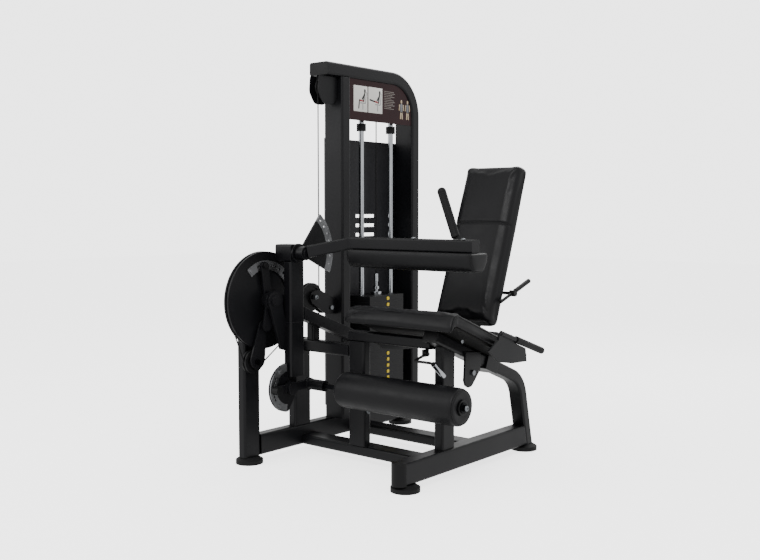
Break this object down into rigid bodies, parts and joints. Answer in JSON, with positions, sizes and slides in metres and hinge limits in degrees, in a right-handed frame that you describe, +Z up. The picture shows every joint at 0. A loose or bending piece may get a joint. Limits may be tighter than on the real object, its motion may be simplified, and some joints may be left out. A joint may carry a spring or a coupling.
{
  "type": "leg extension machine",
  "caption": "Seated leg machine with a weight tower, cable and cam, swinging shin roller arm, hinged thigh pad arm and a sliding back rest.",
  "frame": {"origin": "centre of the underside of the front foot below the seat's spine tube, on the floor", "axes": "+Z up, +Y from the knees back to the back rest, +X from the weight tower across the seat, to the sitter's left"},
  "size_m": [0.9319, 1.1158, 1.548],
  "materials": {
    "frame_paint": "satin black powder coat",
    "cap_plastic": "moulded black",
    "rubber_foot": "matte",
    "arc_steel": "brushed, zinc plated",
    "rod_chrome": "polished",
    "bolt_steel": "machined",
    "plate_iron": "black painted weight plate",
    "pulley_plastic": "glass filled nylon",
    "cable_coat": "nylon coated steel cable",
    "upholstery": "black vinyl",
    "board_wood": "black backed plywood",
    "roller_cover": "black vinyl over foam",
    "grip_rubber": "grip",
    "sign_board": "dark maroon placard",
    "bronze_bush": "sintered bush",
    "pin_steel": "plunger with a black knob"
  },
  "bodies": {
    "frame": {"base_left": "frame_paint", "base_right": "frame_paint", "base_cross": "frame_paint", "feet": "rubber_foot", "leg_outer": "frame_paint", "mid_frame": "frame_paint", "seat_frame": "frame_paint", "seat_rail": "frame_paint", "left_rail": "frame_paint", "thigh_post": "frame_paint", "fan_plate": "frame_paint", "fan_arc": "arc_steel", "tower_upright": "frame_paint", "tower_bend": "frame_paint", "rod_bars": "frame_paint", "placard": "sign_board", "shroud": "frame_paint", "guide_rods": "rod_chrome", "rod_fittings": "grip_rubber", "rest_plates": "plate_iron", "pulley_brackets": "frame_paint", "pulley_axles": "bolt_steel", "cable_run": "cable_coat", "frame_bolts": "bolt_steel", "bearings": "bronze_bush", "end_caps": "cap_plastic", "seat_board": "board_wood", "seat_pad": "upholstery"},
    "weights": {"lifted_plates": "plate_iron", "weight_stem": "bolt_steel", "cable_lift": "cable_coat"},
    "selector": {"selector_pin": "pin_steel"},
    "cam": {"cam_disc": "frame_paint", "rom_arc": "arc_steel", "cam_cable": "cable_coat"},
    "arm": {"arm_shaft": "frame_paint", "arm_bar": "frame_paint", "arm_lever": "frame_paint", "shin_plate": "frame_paint", "shin_arc": "arc_steel"},
    "arm_pull": {"arm_pin": "cap_plastic"},
    "crank": {"crank": "frame_paint", "roller_shaft": "rod_chrome"},
    "crank_pull": {"crank_pin": "cap_plastic"},
    "roller": {"roller_foam": "roller_cover", "roller_core": "cap_plastic"},
    "thigh": {"thigh_arm": "frame_paint", "thigh_pad": "upholstery", "thigh_grip": "grip_rubber"},
    "thigh_pull": {"thigh_pin": "pin_steel"},
    "carriage": {"carriage": "frame_paint", "back_board": "board_wood", "back_pad": "upholstery", "side_handles": "grip_rubber"},
    "back_lever": {"back_lever": "cap_plastic"},
    "seat_lever": {"seat_lever": "rod_chrome"},
    "low_pulley": {"low_pulley": "pulley_plastic"},
    "turn_pulley": {"turn_pulley": "pulley_plastic"},
    "front_pulley": {"front_pulley": "pulley_plastic"},
    "rear_pulley": {"rear_pulley": "pulley_plastic"}
  },
  "joints": [
    {"name": "stack_lift", "type": "slide", "parent": "frame", "child": "weights", "axis": [0, 0, 1], "range_m": [0, 0.295], "deforming": ["cable_lift"]},
    {"name": "selector_pull", "type": "slide", "parent": "weights", "child": "selector", "axis": [1, 0, 0], "range_m": [0, 0.1]},
    {"name": "cam_turn", "type": "hinge", "parent": "frame", "child": "cam", "pos_m": [-0.655, -0.042, 0.623], "axis": [-1, 0, 0], "range_deg": [0, 95]},
    {"name": "arm_start", "type": "hinge", "parent": "cam", "child": "arm", "pos_m": [-0.655, -0.042, 0.623], "axis": [-1, 0, 0], "range_deg": [0, 60]},
    {"name": "arm_pin_pull", "type": "slide", "parent": "arm", "child": "arm_pull", "axis": [1, 0, 0], "range_m": [0, 0.006], "stiffness_N_per_m": 1500},
    {"name": "crank_turn", "type": "hinge", "parent": "arm", "child": "crank", "pos_m": [-0.58, 0.007, 0.291], "axis": [-1, 0, 0], "range_deg": [-30, 30]},
    {"name": "crank_pin_pull", "type": "slide", "parent": "crank", "child": "crank_pull", "axis": [1, 0, 0], "range_m": [0, 0.012], "stiffness_N_per_m": 1500},
    {"name": "roller_spin", "type": "hinge", "parent": "crank", "child": "roller", "pos_m": [-0.099, 0.095, 0.296], "axis": [1, 0, 0], "continuous": true},
    {"name": "thigh_turn", "type": "hinge", "parent": "frame", "child": "thigh", "pos_m": [-0.56, 0.048, 0.8], "axis": [1, 0, 0], "range_deg": [-20, 40]},
    {"name": "thigh_pin_pull", "type": "slide", "parent": "thigh", "child": "thigh_pull", "axis": [1, 0, 0], "range_m": [0, 0.012], "stiffness_N_per_m": 1500},
    {"name": "back_slide", "type": "slide", "parent": "frame", "child": "carriage", "axis": [0, 0.9298, -0.3681], "range_m": [0, 0.1]},
    {"name": "back_lever_lift", "type": "hinge", "parent": "carriage", "child": "back_lever", "pos_m": [0.044, 0.601, 0.644], "axis": [1, 0, 0], "range_deg": [0, 18], "stiffness_Nm_per_rad": 6},
    {"name": "seat_lever_pull", "type": "hinge", "parent": "frame", "child": "seat_lever", "pos_m": [-0.038, 0.168, 0.452], "axis": [-1, 0, 0], "range_deg": [0, 22], "stiffness_Nm_per_rad": 4},
    {"name": "low_pulley_spin", "type": "hinge", "parent": "frame", "child": "low_pulley", "pos_m": [-0.655, -0.1, 0.395], "axis": [-1, 0, 0], "range_deg": [0, 450]},
    {"name": "turn_pulley_spin", "type": "hinge", "parent": "frame", "child": "turn_pulley", "pos_m": [-0.655, 0.214, 0.617], "axis": [-1, 0, 0], "range_deg": [0, 345]},
    {"name": "front_pulley_spin", "type": "hinge", "parent": "frame", "child": "front_pulley", "pos_m": [-0.655, 0.302, 1.45], "axis": [1, 0, 0], "range_deg": [0, 450]},
    {"name": "rear_pulley_spin", "type": "hinge", "parent": "frame", "child": "rear_pulley", "pos_m": [-0.655, 0.584, 1.45], "axis": [1, 0, 0], "range_deg": [0, 450]}
  ],
  "couplings": [
    {"joint": "cam_turn", "follows": "stack_lift", "rad_per_m": 5.618},
    {"joint": "low_pulley_spin", "follows": "stack_lift", "rad_per_m": 26.316},
    {"joint": "turn_pulley_spin", "follows": "stack_lift", "rad_per_m": 20},
    {"joint": "front_pulley_spin", "follows": "stack_lift", "rad_per_m": 26.316},
    {"joint": "rear_pulley_spin", "follows": "stack_lift", "rad_per_m": 26.316}
  ]
}
